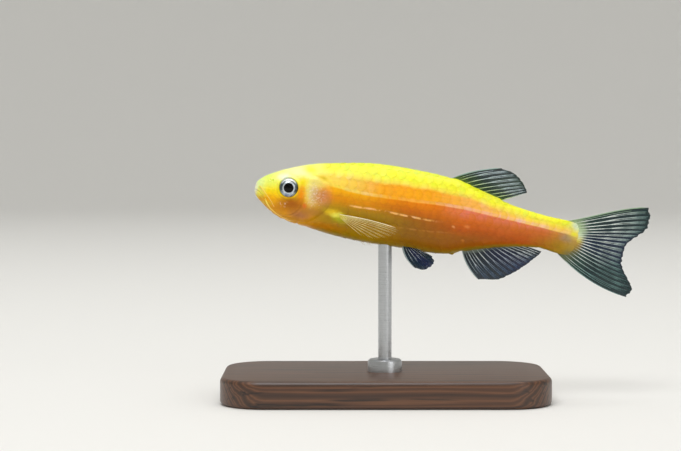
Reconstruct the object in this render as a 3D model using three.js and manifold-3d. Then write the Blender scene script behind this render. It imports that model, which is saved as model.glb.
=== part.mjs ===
// A zebra danio on a plain display stand, life size, in millimetres, +Z up.
// The fish is modelled straight and level, with its nose at zero, and each finished piece is then laid
// along the curve of its spine. In these body coordinates x runs back from the nose, y out to the
// fish's right, and z up from the spine. The origin of the whole part is under the stand's rod.

import * as THREE from 'three';
import { mergeVertices } from 'three/addons/utils/BufferGeometryUtils.js';
import Module from 'manifold-3d';

const wasm = await Module();
wasm.setup();

// Fish in the stand's frame
const bodyLength = 35.5;
const nosePlace = { x: -14.4, z: 23.15 };
const noseDrop = 0.1157;
const dropGrowth = 3.24e-5;
const tailSwing = 0.9;
const gap = 0.3;

// Body sizes at places along the fish: height above the spine, depth below it, half width, and the
// height of the widest point
const stations = [
  { x: 0, up: 0.12, down: -0.04, half: 0, widest: 0.1 },
  { x: 0.05, up: 0.72, down: 0.42, half: 0.4, widest: 0.15 },
  { x: 0.25, up: 1.03, down: 0.72, half: 0.74, widest: 0.15 },
  { x: 1, up: 1.65, down: 1.42, half: 1.2, widest: 0.1 },
  { x: 2.5, up: 2.4, down: 2.52, half: 1.68, widest: 0 },
  { x: 4.2, up: 3.03, down: 3.12, half: 2.02, widest: 0.05 },
  { x: 6.2, up: 3.6, down: 3.46, half: 2.28, widest: 0.1 },
  { x: 9, up: 4.03, down: 4, half: 2.42, widest: 0 },
  { x: 13, up: 4.46, down: 4.34, half: 2.54, widest: -0.2 },
  { x: 17.5, up: 4.36, down: 4.4, half: 2.42, widest: -0.3 },
  { x: 21.5, up: 3.98, down: 4.38, half: 2.02, widest: -0.2 },
  { x: 24, up: 3.28, down: 3.55, half: 1.68, widest: 0 },
  { x: 28, up: 2.3, down: 2.38, half: 1.16, widest: 0 },
  { x: 31.5, up: 1.88, down: 1.77, half: 0.78, widest: 0 },
  { x: 34, up: 1.84, down: 1.96, half: 0.5, widest: 0 },
  { x: 35.5, up: 1.82, down: 1.92, half: 0.34, widest: 0 },
];
const sectionFullness = 2.2;
const bodyRings = 46;
const bodySides = 26;

// Cuts between head, jaw, trunk and tail
const cutReach = 7;
const mouthTip = [0, 0.07];
const mouthCorner = [0.98, -0.61];
const jawCut = [[-0.9, 0.7], mouthTip, mouthCorner, [1.75, -1.6], [2.3, -3.3]];
const shoulderCut = [[5.6, 4.4], [6.5, 2.9], [8.2, 1.9], [8.72, 0.6], [8.5, -1], [7.3, -2.6], [5.9, -4.3]];
const tailCut = [[23.2, 6], [23.2, -6]];

// Gill cover, a thin plate raised a little over the cheek
const gillCoverEdge = [[5.55, 1.95], [6.7, 2.2], [7.9, 1.65], [8.42, 0.6], [8.2, -0.9], [7.1, -2.2],
  [5.75, -2.9], [5.25, -2.2], [5.6, -0.4]];
const gillCoverThickness = 0.55;
const gillCoverRise = 0.1;

// Mouth, nostrils and orbits
const lipRadius = 0.17;
const lipOffset = 0.27;
const lipSink = 0.07;
const nostril = { x: 1.75, z: 1.25, radius: 0.26, rim: 0.12 };
const eye = { x: 3.73, y: 1.57, z: 0.67, radius: 1.05, turn: 0.02 };
const eyeProfile = [[0, -0.72], [0.55, -0.66], [0.9, -0.36], [1.05, 0.05], [1.02, 0.3], [0.89, 0.45],
  [0.52, 0.58], [0.49, 0.64], [0.26, 0.73], [0, 0.76]];
const orbitRim = 0.16;
const papilla = { x: 22.55, z: -4.22, radius: 0.34 };

// Barbels: where they start, bend and end
const barbelRoot = 0.24;
const barbelTip = 0.08;
const rostralBarbel = [[0.35, 0.1, 0.5], [0.7, 1.5, 0.35], [1.25, 2.05, -0.2], [1.9, 2.3, -0.9],
  [2.4, 2.4, -1.6]];
const maxillaryBarbel = [[1.3, 0.4, -0.7], [1.4, 1.6, -1.05], [2, 2.1, -1.8], [3.1, 2.15, -2.5],
  [4.4, 2.05, -2.95]];

// Fins, each a fan of rays between its first and its last ray
const membraneRoot = 0.5;
const membraneEdge = 0.3;
const rayRise = 0.13;
const rootSink = 0.3;
const caudalRays = 19;
const dorsalRays = 9;
const analRays = 14;
const pectoralRays = 11;
const pelvicRays = 7;

// Tail fin: half its root's height, how far back its fork and its lobes reach, and for each lobe how
// far forward its foot starts, how high it rises, how far it bows out, how much that bow leans towards
// the tip, and the shares of its height between which the margin runs from the fork to the lobe's end
const caudalRoot = 1.85;
const forkReach = 5.6;
const lobeReach = 1.95;
const upperLobe = { foot: 1.3, rise: 5.4, bow: 0.55, lean: 2, from: 0.05, to: 0.6 };
const lowerLobe = { foot: 1.9, rise: 4.95, bow: 0.75, lean: 1, from: 0.2, to: 0.88 };
const lobeCorner = 0.35;

// Dorsal, anal and pelvic fins: the roots of their first and last rays, the margin, the bow of the
// front rays, and how much the middle rays sweep back towards the end of the margin
const dorsalFin = {
  roots: [[21.3, 0, 4.1], [26.9, 0, 2.6]],
  margin: [[26.9, 0, 6.2], [27.75, 0, 5.75], [28.7, 0, 5], [29.45, 0, 4]],
  bow: [-0.25, 0, 0.2],
  sweep: 0.85,
};
const analFin = {
  roots: [[23.6, 0, -3.7], [30.4, 0, -1.9]],
  margin: [[26.2, 0, -6.7], [28.1, 0, -6.15], [29.5, 0, -5.25], [30.8, 0, -4.05], [32.35, 0, -2.2]],
  bow: [-0.25, 0, -0.2],
  sweep: 0.85,
};
const pelvicFin = {
  roots: [[16.9, 0.9, -4], [18, 0.75, -4.1]],
  margin: [[18.8, 2.15, -6.45], [19.8, 2.05, -6.25], [20.5, 1.75, -5.55], [20.55, 1.2, -4.9]],
  bow: [-0.3, 0, -0.2],
  sweep: 0,
};

// The pectoral fins lie back along the flanks; the right one hangs a little lower
const pectoralTop = [9.3, 0, -1.25];
const pectoralLow = [9.5, 0, -2];
const pectoralInside = 1.15;
const pectoralLift = 1.95;
const pectoralEdges = {
  left: [[15.7, 0, -2.1], [16, 0, -2.75], [14.6, 0, -3.5], [12.6, 0, -3.8]],
  right: [[15.4, 0, -3], [15.2, 0, -3.9], [13.9, 0, -4.7], [12.2, 0, -4.9]],
};

// Stand
const base = { length: 36, width: 20, height: 3, corner: 5, bevel: 0.5 };
const rodRadius = 0.75;
const rodDepth = 1.8;
const collar = { radius: 1.9, height: 1.1, bevel: 0.3 };

// Point on the spine with its side and up directions; behind the body the spine runs on straight
function spineAt(x) {
  const t = Math.min(Math.max(x, 0), bodyLength);
  const slope = -(noseDrop + 3 * dropGrowth * t ** 2);
  const turn = 3 * tailSwing * t ** 2 / bodyLength ** 3;
  const place = new THREE.Vector3(
    nosePlace.x + x,
    tailSwing * (t / bodyLength) ** 3 + turn * (x - t),
    nosePlace.z - noseDrop * t - dropGrowth * t ** 3 + slope * (x - t),
  );
  const tangent = new THREE.Vector3(1, turn, slope).normalize();
  const side = new THREE.Vector3(-turn, 1, 0).normalize();
  const up = new THREE.Vector3().crossVectors(tangent, side);
  return { place, side, up };
}

// Size of the body at x, by a smooth curve through the stations, taken over the square root of x so
// that the nose comes out round
function sizeAt(x, key) {
  const q = Math.sqrt(Math.min(Math.max(x, 0), bodyLength));
  const knot = (i) => Math.sqrt(stations[i].x);
  const last = stations.length - 1;
  let i = 0;
  while (i < last - 1 && knot(i + 1) < q) i += 1;
  const slope = (n) => {
    const a = Math.max(n - 1, 0);
    const b = Math.min(n + 1, last);
    return (stations[b][key] - stations[a][key]) / (knot(b) - knot(a));
  };
  const span = knot(i + 1) - knot(i);
  const t = (q - knot(i)) / span;
  return (2 * t ** 3 - 3 * t ** 2 + 1) * stations[i][key]
    + (t ** 3 - 2 * t ** 2 + t) * span * slope(i)
    + (3 * t ** 2 - 2 * t ** 3) * stations[i + 1][key]
    + (t ** 3 - t ** 2) * span * slope(i + 1);
}

// Point of the body's section at x, at an angle from the top towards the fish's right
function sectionPoint(x, angle, grow = 0) {
  const power = 2 / sectionFullness;
  const widest = sizeAt(x, 'widest');
  const c = Math.cos(angle);
  const s = Math.sin(angle);
  const reach = c > 0 ? sizeAt(x, 'up') - widest : sizeAt(x, 'down') + widest;
  const y = (sizeAt(x, 'half') + grow) * Math.sign(s) * Math.abs(s) ** power;
  const z = widest + (reach + grow) * Math.sign(c) * Math.abs(c) ** power;
  return [y, z];
}

// Half width of the body at x and height z
function flankAt(x, z) {
  const widest = sizeAt(x, 'widest');
  const reach = z > widest ? sizeAt(x, 'up') - widest : sizeAt(x, 'down') + widest;
  const share = Math.min(Math.abs(z - widest) / reach, 1);
  return sizeAt(x, 'half') * (1 - share ** sectionFullness) ** (1 / sectionFullness);
}

// A closed three.js geometry as a solid that can be joined and cut
function toSolid(geometry) {
  const bare = new THREE.BufferGeometry();
  bare.setAttribute('position', geometry.getAttribute('position'));
  if (geometry.index) bare.setIndex(geometry.index);
  const merged = mergeVertices(bare, 1e-4);
  const triangles = [];
  for (let i = 0; i < merged.index.count; i += 3) {
    const [a, b, c] = [0, 1, 2].map((n) => merged.index.getX(i + n));
    if (a !== b && b !== c && c !== a) triangles.push(a, b, c);
  }
  return new wasm.Manifold(new wasm.Mesh({
    numProp: 3,
    vertProperties: Float32Array.from(merged.getAttribute('position').array),
    triVerts: Uint32Array.from(triangles),
  }));
}

// A solid's vertices and triangles as a geometry, each vertex moved by place
function toGeometry(solid, place = (x, y, z) => new THREE.Vector3(x, y, z)) {
  const mesh = solid.getMesh();
  const count = mesh.vertProperties.length / mesh.numProp;
  const positions = [];
  for (let i = 0; i < count; i += 1) {
    const [x, y, z] = mesh.vertProperties.slice(i * mesh.numProp, i * mesh.numProp + 3);
    positions.push(...place(x, y, z).toArray());
  }
  const geometry = new THREE.BufferGeometry();
  geometry.setAttribute('position', new THREE.Float32BufferAttribute(positions, 3));
  geometry.setIndex(Array.from(mesh.triVerts));
  geometry.computeVertexNormals();
  return geometry;
}

function alongSpine(x, y, z) {
  const { place, side, up } = spineAt(x);
  return place.addScaledVector(side, y).addScaledVector(up, z);
}

function largest(solid) {
  return solid.decompose().sort((a, b) => b.volume() - a.volume())[0];
}

// The piece of a parted body whose middle lies nearest to x and z
function pieceNear(pieces, x, z) {
  const distance = (solid) => {
    const box = solid.boundingBox();
    return Math.hypot((box.min[0] + box.max[0]) / 2 - x, (box.min[2] + box.max[2]) / 2 - z);
  };
  return pieces.slice().sort((a, b) => distance(a) - distance(b))[0];
}

function mirrored(points) {
  return points.map(([x, y, z]) => [x, -y, z]);
}

// The body as one closed loft, optionally grown or shrunk all round
function bodyLoft(grow = 0) {
  const geometry = new THREE.SphereGeometry(1, bodySides, bodyRings);
  const position = geometry.getAttribute('position');
  const point = new THREE.Vector3();
  for (let i = 0; i < position.count; i += 1) {
    point.fromBufferAttribute(position, i);
    const share = Math.min(Math.acos(THREE.MathUtils.clamp(point.y, -1, 1)) / Math.PI * bodyRings
      / (bodyRings - 1), 1);
    const angle = Math.atan2(point.z, point.x);
    const pole = Math.abs(point.y) > 1 - 1e-9;
    const x = bodyLength * share ** 1.6;
    const shift = -grow * Math.max(0, 1 - share * 4) + grow * Math.max(0, share * 4 - 3);
    const size = pole ? [0, sizeAt(x, 'widest')] : sectionPoint(x, angle, grow);
    position.setXYZ(i, x + shift, -size[0], size[1]);
  }
  return toSolid(geometry);
}

// A thin wall that follows a line in the side view and passes right through the body
function cutWall(points, width = gap) {
  const curve = new THREE.SplineCurve(points.map(([x, z]) => new THREE.Vector2(x, z)));
  const steps = points.length > 2 ? points.length * 4 : 1;
  const edge = (sign) => Array.from({ length: steps + 1 }, (_, i) => {
    const t = i / steps;
    const tangent = curve.getTangent(t);
    return curve.getPoint(t).add(new THREE.Vector2(-tangent.y, tangent.x).multiplyScalar(sign * width / 2));
  });
  const shape = new THREE.Shape([...edge(1), ...edge(-1).reverse()]);
  return sideExtrusion(shape, -cutReach, cutReach);
}

// A shape drawn in the side view, x back and z up, given depth across the body from y = from to y = to
function sideExtrusion(shape, from, to) {
  const geometry = new THREE.ExtrudeGeometry(shape, { depth: to - from, bevelEnabled: false });
  geometry.rotateX(Math.PI / 2);
  geometry.translate(0, to, 0);
  return toSolid(geometry);
}

// A round tube along a curve, tapered from its root to its tip
function taperedTube(points, root, tip, sides = 7, steps = 12) {
  const curve = new THREE.CatmullRomCurve3(points.map((p) => new THREE.Vector3(...p)));
  const frames = curve.computeFrenetFrames(steps);
  const geometry = new THREE.CylinderGeometry(1, 1, 1, sides, steps);
  const position = geometry.getAttribute('position');
  for (let i = 0; i < position.count; i += 1) {
    const t = THREE.MathUtils.clamp(position.getY(i) + 0.5, 0, 1);
    const step = Math.round(t * steps);
    const radius = THREE.MathUtils.lerp(root, tip, t);
    const place = curve.getPointAt(t)
      .addScaledVector(frames.normals[step], position.getX(i) * radius)
      .addScaledVector(frames.binormals[step], -position.getZ(i) * radius);
    position.setXYZ(i, place.x, place.y, place.z);
  }
  return toSolid(geometry);
}

// A fin as a thin closed sheet with raised rays. rayPoint gives its middle surface, w from the first
// ray to the last and v from 0 at the root to 1 at the margin; the sheet starts sunk below the root.
// Both faces are split into the same triangles.
function finSheet(rays, rows, rayPoint) {
  const columns = 2 * (rays - 1);
  const normalAt = (w, v) => {
    const step = 0.01;
    const across = rayPoint(Math.min(w + step, 1), v).sub(rayPoint(Math.max(w - step, 0), v));
    const along = rayPoint(w, v + step).sub(rayPoint(w, v - step));
    return across.cross(along).normalize();
  };
  const positions = [];
  for (const face of [1, -1]) {
    for (let row = 0; row <= rows; row += 1) {
      for (let column = 0; column <= columns; column += 1) {
        const w = column / columns;
        const v = THREE.MathUtils.lerp(-rootSink, 1, row / rows);
        const beside = rayPoint(column < columns ? w + 1 / columns : w - 1 / columns, v);
        const spacing = beside.distanceTo(rayPoint(w, v));
        const rise = column % 2 === 0 ? Math.min(rayRise * (1 - 0.6 * v), 0.5 * spacing) : 0;
        const half = THREE.MathUtils.lerp(membraneRoot, membraneEdge, Math.max(v, 0) ** 2) / 2 + rise;
        const point = rayPoint(w, v).addScaledVector(normalAt(w, v), face * half);
        positions.push(point.x, point.y, point.z);
      }
    }
  }
  const back = (rows + 1) * (columns + 1);
  const at = (row, column) => row * (columns + 1) + column;
  const index = [];
  const quad = (a, b, c, d) => index.push(a, b, c, a, c, d);
  for (let row = 0; row < rows; row += 1) {
    for (let column = 0; column < columns; column += 1) {
      const corners = [at(row, column), at(row, column + 1), at(row + 1, column + 1), at(row + 1, column)];
      const [a, b, c, d] = corners;
      index.push(a, b, c, a, c, d);
      index.push(back + a, back + c, back + b, back + a, back + d, back + c);
    }
    const first = at(row, 0);
    const firstNext = at(row + 1, 0);
    const last = at(row, columns);
    const lastNext = at(row + 1, columns);
    quad(first, firstNext, back + firstNext, back + first);
    quad(last, back + last, back + lastNext, lastNext);
  }
  for (let column = 0; column < columns; column += 1) {
    const root = at(0, column);
    const margin = at(rows, column);
    quad(root, back + root, back + root + 1, root + 1);
    quad(margin, margin + 1, back + margin + 1, back + margin);
  }
  const geometry = new THREE.BufferGeometry();
  geometry.setAttribute('position', new THREE.Float32BufferAttribute(positions, 3));
  geometry.setIndex(index);
  return toSolid(geometry);
}

// The middle surface of a fin from the roots of its first and last ray and its margin
function fan(firstRoot, lastRoot, margin, bow = [0, 0, 0], sweep = 0) {
  const first = new THREE.Vector3(...firstRoot);
  const last = new THREE.Vector3(...lastRoot);
  const edge = new THREE.CatmullRomCurve3(margin.map((p) => new THREE.Vector3(...p)));
  return (w, v) => first.clone().lerp(last, w).lerp(edge.getPoint(w + sweep * w * (1 - w)), v)
    .addScaledVector(new THREE.Vector3(...bow), 4 * v * (1 - v) * (1 - w) ** 2);
}

function headForms() {
  const forms = [];
  for (const side of [1, -1]) {
    const rim = new THREE.TorusGeometry(eye.radius + gap, orbitRim, 6, 22);
    rim.rotateX(Math.PI / 2);
    rim.rotateZ(side * eye.turn);
    rim.translate(eye.x, side * (flankAt(eye.x, eye.z) - 0.06), eye.z);
    forms.push(toSolid(rim));
    const nostrilRim = new THREE.TorusGeometry(nostril.radius, nostril.rim, 5, 10);
    nostrilRim.rotateX(Math.PI / 2 - side * 0.7);
    nostrilRim.translate(nostril.x, side * flankAt(nostril.x, nostril.z), nostril.z);
    forms.push(toSolid(nostrilRim));
  }
  for (const offset of [lipOffset, -lipOffset]) {
    const path = [];
    for (let share = -1; share <= 1.001; share += 0.2) {
      const x = mouthCorner[0] * 1.05 * share ** 2;
      const z = mouthTip[1] + (mouthCorner[1] - mouthTip[1]) * share ** 2 + offset;
      path.push([x + lipSink, Math.sign(share) * Math.max(flankAt(x, z) - lipSink, 0), z]);
    }
    forms.push(taperedTube(path, lipRadius, lipRadius, 6, 16));
  }
  return forms;
}

function eyeSockets() {
  return [1, -1].map((side) => {
    const socket = new THREE.SphereGeometry(eye.radius + gap, 20, 10);
    socket.scale(1, 0.85, 1);
    socket.rotateZ(side * eye.turn);
    socket.translate(eye.x, side * eye.y, eye.z);
    return toSolid(socket);
  });
}

// An eyeball with a sloping iris and a slightly domed pupil
function eyeBall(side) {
  const ball = new THREE.LatheGeometry(eyeProfile.map(([r, h]) => new THREE.Vector2(r, h)), 20);
  if (side < 0) ball.rotateX(Math.PI);
  ball.rotateZ(side * eye.turn);
  ball.translate(eye.x, side * eye.y, eye.z);
  return toSolid(ball);
}

function smoothShape(points) {
  const curve = new THREE.SplineCurve([...points, points[0]].map(([x, z]) => new THREE.Vector2(x, z)));
  return new THREE.Shape(curve.getPoints(points.length * 4).slice(0, -1));
}

// The gill cover is the outer layer of the body inside its outline; the bed is the room left for it
function gillCovers() {
  const middle = [6.9, -0.2];
  const grown = gillCoverEdge.map(([x, z]) => {
    const reach = Math.hypot(x - middle[0], z - middle[1]);
    return [x + (x - middle[0]) / reach * gap, z + (z - middle[1]) / reach * gap];
  });
  const shell = bodyLoft(gillCoverRise).subtract(bodyLoft(gillCoverRise - gillCoverThickness));
  const bedShell = bodyLoft(1).subtract(bodyLoft(gillCoverRise - gillCoverThickness - gap));
  return [1, -1].map((side) => {
    const range = side > 0 ? [0.2, 5] : [-5, -0.2];
    return {
      cover: largest(shell.intersect(sideExtrusion(smoothShape(gillCoverEdge), ...range))),
      bed: bedShell.intersect(sideExtrusion(smoothShape(grown), ...range)),
    };
  });
}

function standPieces(clearance) {
  const outline = new THREE.Shape();
  const [w, d, r] = [base.length / 2 - base.bevel, base.width / 2 - base.bevel, base.corner];
  outline.moveTo(-w + r, -d);
  outline.lineTo(w - r, -d);
  outline.absarc(w - r, -d + r, r, -Math.PI / 2, 0);
  outline.absarc(w - r, d - r, r, 0, Math.PI / 2);
  outline.absarc(-w + r, d - r, r, Math.PI / 2, Math.PI);
  outline.absarc(-w + r, -d + r, r, Math.PI, Math.PI * 1.5);
  const slab = new THREE.ExtrudeGeometry(outline, {
    depth: base.height - 2 * base.bevel,
    bevelSize: base.bevel,
    bevelThickness: base.bevel,
    bevelSegments: 2,
    curveSegments: 6,
  });
  slab.translate(0, 0, base.bevel);
  const post = (radius, from, to) => {
    const cylinder = new THREE.CylinderGeometry(radius, radius, to - from, 20);
    cylinder.rotateX(Math.PI / 2);
    cylinder.translate(0, 0, (from + to) / 2);
    return toSolid(cylinder);
  };
  const hole = post(rodRadius + gap, base.height - rodDepth - gap, base.height + 1);
  const rod = largest(post(rodRadius, base.height - rodDepth, nosePlace.z).subtract(clearance));
  const inner = rodRadius + gap;
  const low = base.height + gap;
  const high = low + collar.height;
  const ring = [[inner, low], [collar.radius, low], [collar.radius, high - collar.bevel],
    [collar.radius - collar.bevel, high], [inner, high], [inner, low]];
  const collarGeometry = new THREE.LatheGeometry(ring.map(([x, y]) => new THREE.Vector2(x, y)), 24);
  collarGeometry.rotateX(Math.PI / 2);
  return { base: toSolid(slab).subtract(hole), rod, collar: toSolid(collarGeometry) };
}

const finishes = {
  head: [0xf0c83a, 0.42],
  jaw: [0xf3d24c, 0.42],
  cover: [0xe6ab84, 0.38],
  flank: [0xf08a24, 0.42],
  tail: [0xe98a3c, 0.42],
  iris: [0xc9d2d6, 0.2],
  fin: [0x4f6f66, 0.45],
  paleFin: [0xe8d9a0, 0.45],
  wood: [0x4a2f1d, 0.45],
  steel: [0xb9bcc0, 0.3],
};

const danio = new THREE.Group();

function addPiece(name, solid, finish, place) {
  const [color, roughness] = finishes[finish];
  const metalness = finish === 'steel' ? 1 : 0;
  const material = new THREE.MeshStandardMaterial({ color, roughness, metalness });
  const mesh = new THREE.Mesh(toGeometry(solid, place), material);
  mesh.name = name;
  danio.add(mesh);
}

const body = bodyLoft();
const clearance = bodyLoft(gap);
const [rightGill, leftGill] = gillCovers();
const papillaBall = new THREE.SphereGeometry(papilla.radius, 10, 8);
papillaBall.translate(papilla.x, 0, papilla.z);

let flesh = body.add(toSolid(papillaBall));
for (const form of headForms()) flesh = flesh.add(form);
const cuts = [...eyeSockets(), leftGill.bed, rightGill.bed];
for (const line of [jawCut, shoulderCut, tailCut]) cuts.push(cutWall(line));
for (const side of [1, -1]) {
  const pit = new THREE.SphereGeometry(nostril.radius * 0.75, 10, 8);
  pit.translate(nostril.x, side * (flankAt(nostril.x, nostril.z) + 0.05), nostril.z);
  cuts.push(toSolid(pit));
}
for (const cut of cuts) flesh = flesh.subtract(cut);
const fleshPieces = flesh.decompose();

addPiece('head', pieceNear(fleshPieces, 4.5, 0), 'head', alongSpine);
addPiece('lower_jaw', pieceNear(fleshPieces, 1, -1.3), 'jaw', alongSpine);
addPiece('trunk', pieceNear(fleshPieces, 15, 0), 'flank', alongSpine);
addPiece('tail_stem', pieceNear(fleshPieces, 29, 0), 'tail', alongSpine);

for (const [side, name, gill] of [[-1, 'left', leftGill], [1, 'right', rightGill]]) {
  addPiece(`gill_cover_${name}`, gill.cover, 'cover', alongSpine);
  addPiece(`eye_${name}`, eyeBall(side), 'iris', alongSpine);
  const outward = (points) => (side > 0 ? points : mirrored(points));
  const barbel = (points) => {
    const tube = taperedTube(outward(points), barbelRoot, barbelTip);
    return largest(tube.subtract(clearance));
  };
  addPiece(`barbel_rostral_${name}`, barbel(rostralBarbel), 'jaw', alongSpine);
  addPiece(`barbel_maxillary_${name}`, barbel(maxillaryBarbel), 'jaw', alongSpine);
}

const dorsal = fan(...dorsalFin.roots, dorsalFin.margin, dorsalFin.bow, dorsalFin.sweep);
addPiece('dorsal_fin', largest(finSheet(dorsalRays, 8, dorsal).subtract(clearance)), 'fin', alongSpine);

const anal = fan(...analFin.roots, analFin.margin, analFin.bow, analFin.sweep);
addPiece('anal_fin', largest(finSheet(analRays, 8, anal).subtract(clearance)), 'fin', alongSpine);

function caudal(w, v) {
  const spread = 1 - 2 * w;
  const lobe = Math.abs(spread);
  const { foot, rise, bow, lean, from, to } = spread > 0 ? upperLobe : lowerLobe;
  const rootX = bodyLength + gap - foot * lobe ** 2;
  const reach = forkReach + lobeReach * THREE.MathUtils.smoothstep(lobe, from, to);
  const marginX = bodyLength + reach - lobeCorner * lobe ** 12;
  const height = THREE.MathUtils.lerp(caudalRoot * lobe, rise * lobe ** 0.95, v);
  const z = Math.sign(spread) * (height + bow * 4 * v ** lean * (1 - v) * lobe ** 2);
  return new THREE.Vector3(THREE.MathUtils.lerp(rootX, marginX, v), 0, z);
}
addPiece('caudal_fin', largest(finSheet(caudalRays, 9, caudal).subtract(clearance)), 'fin', alongSpine);

for (const [side, name] of [[-1, 'left'], [1, 'right']]) {
  const outward = (points) => (side > 0 ? points : mirrored(points));
  const flat = fan(pectoralTop, pectoralLow, pectoralEdges[name]);
  const pectoral = (w, v) => {
    const point = flat(w, v);
    const lift = THREE.MathUtils.smoothstep(v, -rootSink, 0.2);
    point.y = side * (pectoralInside + pectoralLift * lift + 0.2 * v - 0.35 * w * v);
    return point;
  };
  addPiece(`pectoral_fin_${name}`, largest(finSheet(pectoralRays, 8, pectoral).subtract(clearance)),
    'paleFin', alongSpine);
  const pelvic = fan(...outward(pelvicFin.roots), outward(pelvicFin.margin), pelvicFin.bow,
    pelvicFin.sweep);
  addPiece(`pelvic_fin_${name}`, largest(finSheet(pelvicRays, 7, pelvic).subtract(clearance)),
    'fin', alongSpine);
}

const bentClearance = toSolid(toGeometry(clearance, alongSpine));
const stand = standPieces(bentClearance);
addPiece('stand_base', stand.base, 'wood');
addPiece('stand_rod', stand.rod, 'steel');
addPiece('stand_collar', stand.collar, 'steel');

export default danio;
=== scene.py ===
import bisect
import functools
import math
import random

import bmesh
import bpy
from mathutils import Matrix, Vector, noise
from mathutils.kdtree import KDTree


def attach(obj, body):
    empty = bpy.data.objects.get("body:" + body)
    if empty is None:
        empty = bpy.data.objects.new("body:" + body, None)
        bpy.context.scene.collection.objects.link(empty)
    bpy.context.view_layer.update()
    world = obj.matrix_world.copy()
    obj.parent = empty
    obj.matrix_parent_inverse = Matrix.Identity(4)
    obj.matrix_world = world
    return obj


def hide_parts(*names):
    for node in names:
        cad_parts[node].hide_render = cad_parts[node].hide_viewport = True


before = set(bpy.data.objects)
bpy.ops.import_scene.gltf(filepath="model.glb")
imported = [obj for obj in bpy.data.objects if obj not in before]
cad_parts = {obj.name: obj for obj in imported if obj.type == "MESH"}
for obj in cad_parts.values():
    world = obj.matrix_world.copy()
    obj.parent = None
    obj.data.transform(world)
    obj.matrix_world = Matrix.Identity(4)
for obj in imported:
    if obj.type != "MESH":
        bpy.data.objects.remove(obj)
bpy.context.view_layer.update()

mm = 0.001  # sizes are in millimetres until a piece is laid in place


# Small helpers
def smoothStep(low, high, value):
    t = min(max((value - low) / (high - low), 0.0), 1.0)
    return t * t * (3 - 2 * t)


def bell(distance, width):
    return math.exp(-(distance / width) ** 2)


def blend(a, b, t):
    return a + (b - a) * t


def paint(code):
    # a web colour code as linear light
    parts = [int(code[i:i + 2], 16) / 255 for i in (0, 2, 4)]
    return (*[c / 12.92 if c <= 0.04045 else ((c + 0.055) / 1.055) ** 2.4 for c in parts], 1.0)


def splinePoint(points, t, closed=False):
    count = len(points) if closed else len(points) - 1
    place = min(max(t, 0.0), 1.0) * count
    i = min(int(place), count - 1)
    f = place - i

    def at(n):
        return points[n % len(points)] if closed else points[min(max(n, 0), len(points) - 1)]
    a, b, c, d = at(i - 1), at(i), at(i + 1), at(i + 2)
    if not closed:
        a = b * 2 - c if i == 0 else a
        d = c * 2 - b if i == count - 1 else d
    return (b * 2 + (c - a) * f + (a * 2 - b * 5 + c * 4 - d) * f * f
            + (b * 3 - a - c * 3 + d) * f ** 3) * 0.5


# Body of the fish, straight and level: x back from the nose, y out to its right, z up from the spine
fish = {
    "length": 35.5,
    "nose": (-14.4, 23.15),
    "noseDrop": 0.1157,
    "dropGrowth": 3.24e-5,
    "tailSwing": 0.9,
    "fullness": 2.2,
    "leastHeight": 0.2,
    # back from the nose: height above the spine, depth below it, half width, height of the widest point
    "stations": [
        (0, 0.12, -0.04, 0, 0.1),
        (0.05, 0.72, 0.42, 0.4, 0.15),
        (0.25, 1.03, 0.72, 0.74, 0.15),
        (1, 1.65, 1.42, 1.2, 0.1),
        (2.5, 2.4, 2.52, 1.68, 0),
        (4.2, 3.03, 3.12, 2.02, 0.05),
        (6.2, 3.6, 3.46, 2.28, 0.1),
        (9, 4.03, 4, 2.42, 0),
        (13, 4.46, 4.34, 2.54, -0.2),
        (17.5, 4.36, 4.4, 2.42, -0.3),
        (21.5, 3.98, 4.38, 2.02, -0.2),
        (24, 3.28, 3.55, 1.68, 0),
        (28, 2.3, 2.38, 1.16, 0),
        (31.5, 1.88, 1.77, 0.78, 0),
        (34, 1.84, 1.96, 0.5, 0),
        (35.5, 1.82, 1.92, 0.34, 0),
    ],
    # the flesh thins out into the tail fin, and its end is round and finely scalloped
    "thinFrom": 33.2,
    "bulge": 0.42,
    "bulgeFrom": 33,
    "scallop": 0.13,
    "scallopFrom": 35,
}


def spineAt(x):
    t = min(max(x, 0.0), fish["length"])
    slope = -(fish["noseDrop"] + 3 * fish["dropGrowth"] * t ** 2)
    turn = 3 * fish["tailSwing"] * t ** 2 / fish["length"] ** 3
    noseX, noseZ = fish["nose"]
    place = Vector((
        noseX + x,
        fish["tailSwing"] * (t / fish["length"]) ** 3 + turn * (x - t),
        noseZ - fish["noseDrop"] * t - fish["dropGrowth"] * t ** 3 + slope * (x - t),
    ))
    tangent = Vector((1, turn, slope)).normalized()
    side = Vector((-turn, 1, 0)).normalized()
    return place, side, tangent.cross(side)


def alongSpine(point):
    place, side, up = spineAt(point[0])
    return (place + side * point[1] + up * point[2]) * mm


@functools.lru_cache(maxsize=None)
def sizesAt(x):
    # a smooth curve through the stations, over the square root of x so that the nose is round
    stations = fish["stations"]
    q = math.sqrt(min(max(x, 0.0), fish["length"]))
    knots = [math.sqrt(s[0]) for s in stations]
    last = len(stations) - 1
    i = min(max(bisect.bisect_left(knots, q) - 1, 0), last - 1)
    span = knots[i + 1] - knots[i]
    t = (q - knots[i]) / span

    def slope(n, key):
        a, b = max(n - 1, 0), min(n + 1, last)
        return (stations[b][key] - stations[a][key]) / (knots[b] - knots[a])
    return [(2 * t ** 3 - 3 * t ** 2 + 1) * stations[i][key]
            + (t ** 3 - 2 * t ** 2 + t) * span * slope(i, key)
            + (3 * t ** 2 - 2 * t ** 3) * stations[i + 1][key]
            + (t ** 3 - t ** 2) * span * slope(i + 1, key)
            for key in (1, 2, 3, 4)]


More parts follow.
